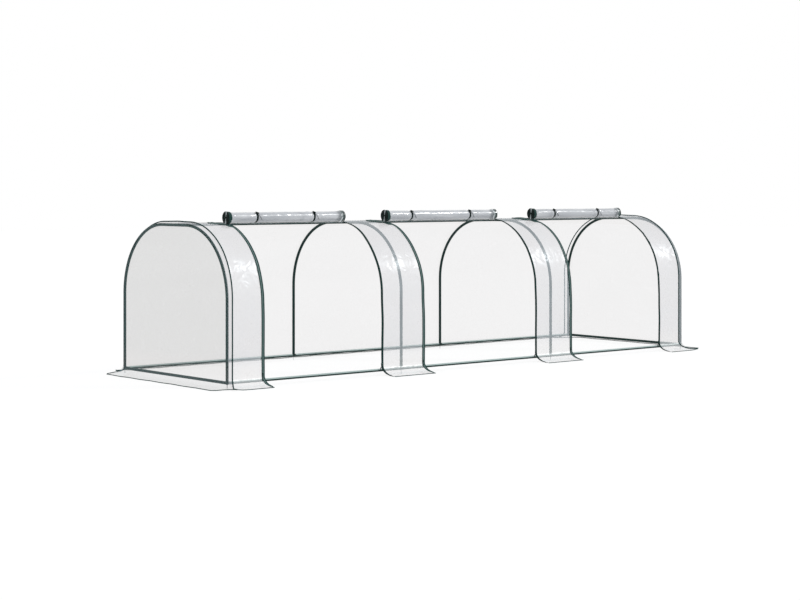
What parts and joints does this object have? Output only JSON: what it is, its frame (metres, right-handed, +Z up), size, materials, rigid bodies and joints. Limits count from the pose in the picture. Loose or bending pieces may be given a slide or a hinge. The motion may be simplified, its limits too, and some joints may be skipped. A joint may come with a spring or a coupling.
{
  "type": "tunnel greenhouse",
  "caption": "Low tunnel greenhouse: round-shouldered steel hoops on a rail base under a clear film cover with ground skirts, zips and roll-up doors tied open along the ridge.",
  "frame": {"origin": "on the ground, under the middle of the tunnel", "axes": "+X along the tunnel to the right seen from the door side, +Y from the doors to the closed back, +Z up"},
  "size_m": [3.7246, 1.2426, 0.8987],
  "materials": {
    "green_steel": "semi-gloss dark green powder coat",
    "green_joint": "dark green moulded plastic",
    "clear_film": "clear flexible film, slightly wrinkled",
    "rolled_film": "clear film in many layers, milky grey",
    "zip_tape": "woven dark green zip tape with coil teeth",
    "tie_tape": "woven dark green tape",
    "zip_slider": "dark lacquered die-cast metal"
  },
  "bodies": {
    "frame": {"base_tee_2_back": "green_joint", "base_tee_2_front": "green_joint", "base_tee_3_back": "green_joint", "base_tee_3_front": "green_joint", "corner_joint_1_back": "green_joint", "corner_joint_1_front": "green_joint", "corner_joint_4_back": "green_joint", "corner_joint_4_front": "green_joint", "end_panel_left": "clear_film", "end_panel_right": "clear_film", "end_rail_left": "green_steel", "end_rail_right": "green_steel", "front_strip_1": "clear_film", "front_strip_2": "clear_film", "front_strip_3": "clear_film", "front_strip_4": "clear_film", "hoop_1_back_tube": "green_steel", "hoop_1_front_tube": "green_steel", "hoop_2_back_tube": "green_steel", "hoop_2_front_tube": "green_steel", "hoop_3_back_tube": "green_steel", "hoop_3_front_tube": "green_steel", "hoop_4_back_tube": "green_steel", "hoop_4_front_tube": "green_steel", "ridge_cross_2": "green_joint", "ridge_cross_3": "green_joint", "ridge_tee_1": "green_joint", "ridge_tee_4": "green_joint", "ridge_tube_1": "green_steel", "ridge_tube_2": "green_steel", "ridge_tube_3": "green_steel", "roof_and_back_sheet": "clear_film", "side_rail_1_back": "green_steel", "side_rail_1_front": "green_steel", "side_rail_2_back": "green_steel", "side_rail_2_front": "green_steel", "side_rail_3_back": "green_steel", "side_rail_3_front": "green_steel", "zip_tape_1_left": "zip_tape", "zip_tape_1_right": "zip_tape", "zip_tape_2_left": "zip_tape", "zip_tape_2_right": "zip_tape", "zip_tape_3_left": "zip_tape", "zip_tape_3_right": "zip_tape"},
    "door_1": {"door_roll_1": "rolled_film", "roll_tie_1_left": "tie_tape", "roll_tie_1_right": "tie_tape"},
    "door_2": {"door_roll_2": "rolled_film", "roll_tie_2_left": "tie_tape", "roll_tie_2_right": "tie_tape"},
    "door_3": {"door_roll_3": "rolled_film", "roll_tie_3_left": "tie_tape", "roll_tie_3_right": "tie_tape"},
    "slider_1_left": {"zip_slider_1_left": "zip_slider"},
    "slider_1_right": {"zip_slider_1_right": "zip_slider"},
    "slider_2_left": {"zip_slider_2_left": "zip_slider"},
    "slider_2_right": {"zip_slider_2_right": "zip_slider"},
    "slider_3_left": {"zip_slider_3_left": "zip_slider"},
    "slider_3_right": {"zip_slider_3_right": "zip_slider"}
  },
  "joints": [
    {"name": "door_1_unroll", "type": "hinge", "parent": "frame", "child": "door_1", "pos_m": [-1.13473, -0.14588, 0.30443], "axis": [1, 0, 0], "range_deg": [0, 115.2]},
    {"name": "door_2_unroll", "type": "hinge", "parent": "frame", "child": "door_2", "pos_m": [-0.0057, -0.14588, 0.30443], "axis": [1, 0, 0], "range_deg": [0, 115.2]},
    {"name": "door_3_unroll", "type": "hinge", "parent": "frame", "child": "door_3", "pos_m": [1.11988, -0.14588, 0.30443], "axis": [1, 0, 0], "range_deg": [0, 115.2]},
    {"name": "zip_1_left_slide", "type": "slide", "parent": "frame", "child": "slider_1_left", "axis": [0, 0, 1], "range_m": [0, 0.38]},
    {"name": "zip_1_right_slide", "type": "slide", "parent": "frame", "child": "slider_1_right", "axis": [0, 0, 1], "range_m": [0, 0.38]},
    {"name": "zip_2_left_slide", "type": "slide", "parent": "frame", "child": "slider_2_left", "axis": [0, 0, 1], "range_m": [0, 0.38]},
    {"name": "zip_2_right_slide", "type": "slide", "parent": "frame", "child": "slider_2_right", "axis": [0, 0, 1], "range_m": [0, 0.38]},
    {"name": "zip_3_left_slide", "type": "slide", "parent": "frame", "child": "slider_3_left", "axis": [0, 0, 1], "range_m": [0, 0.38]},
    {"name": "zip_3_right_slide", "type": "slide", "parent": "frame", "child": "slider_3_right", "axis": [0, 0, 1], "range_m": [0, 0.38]}
  ]
}
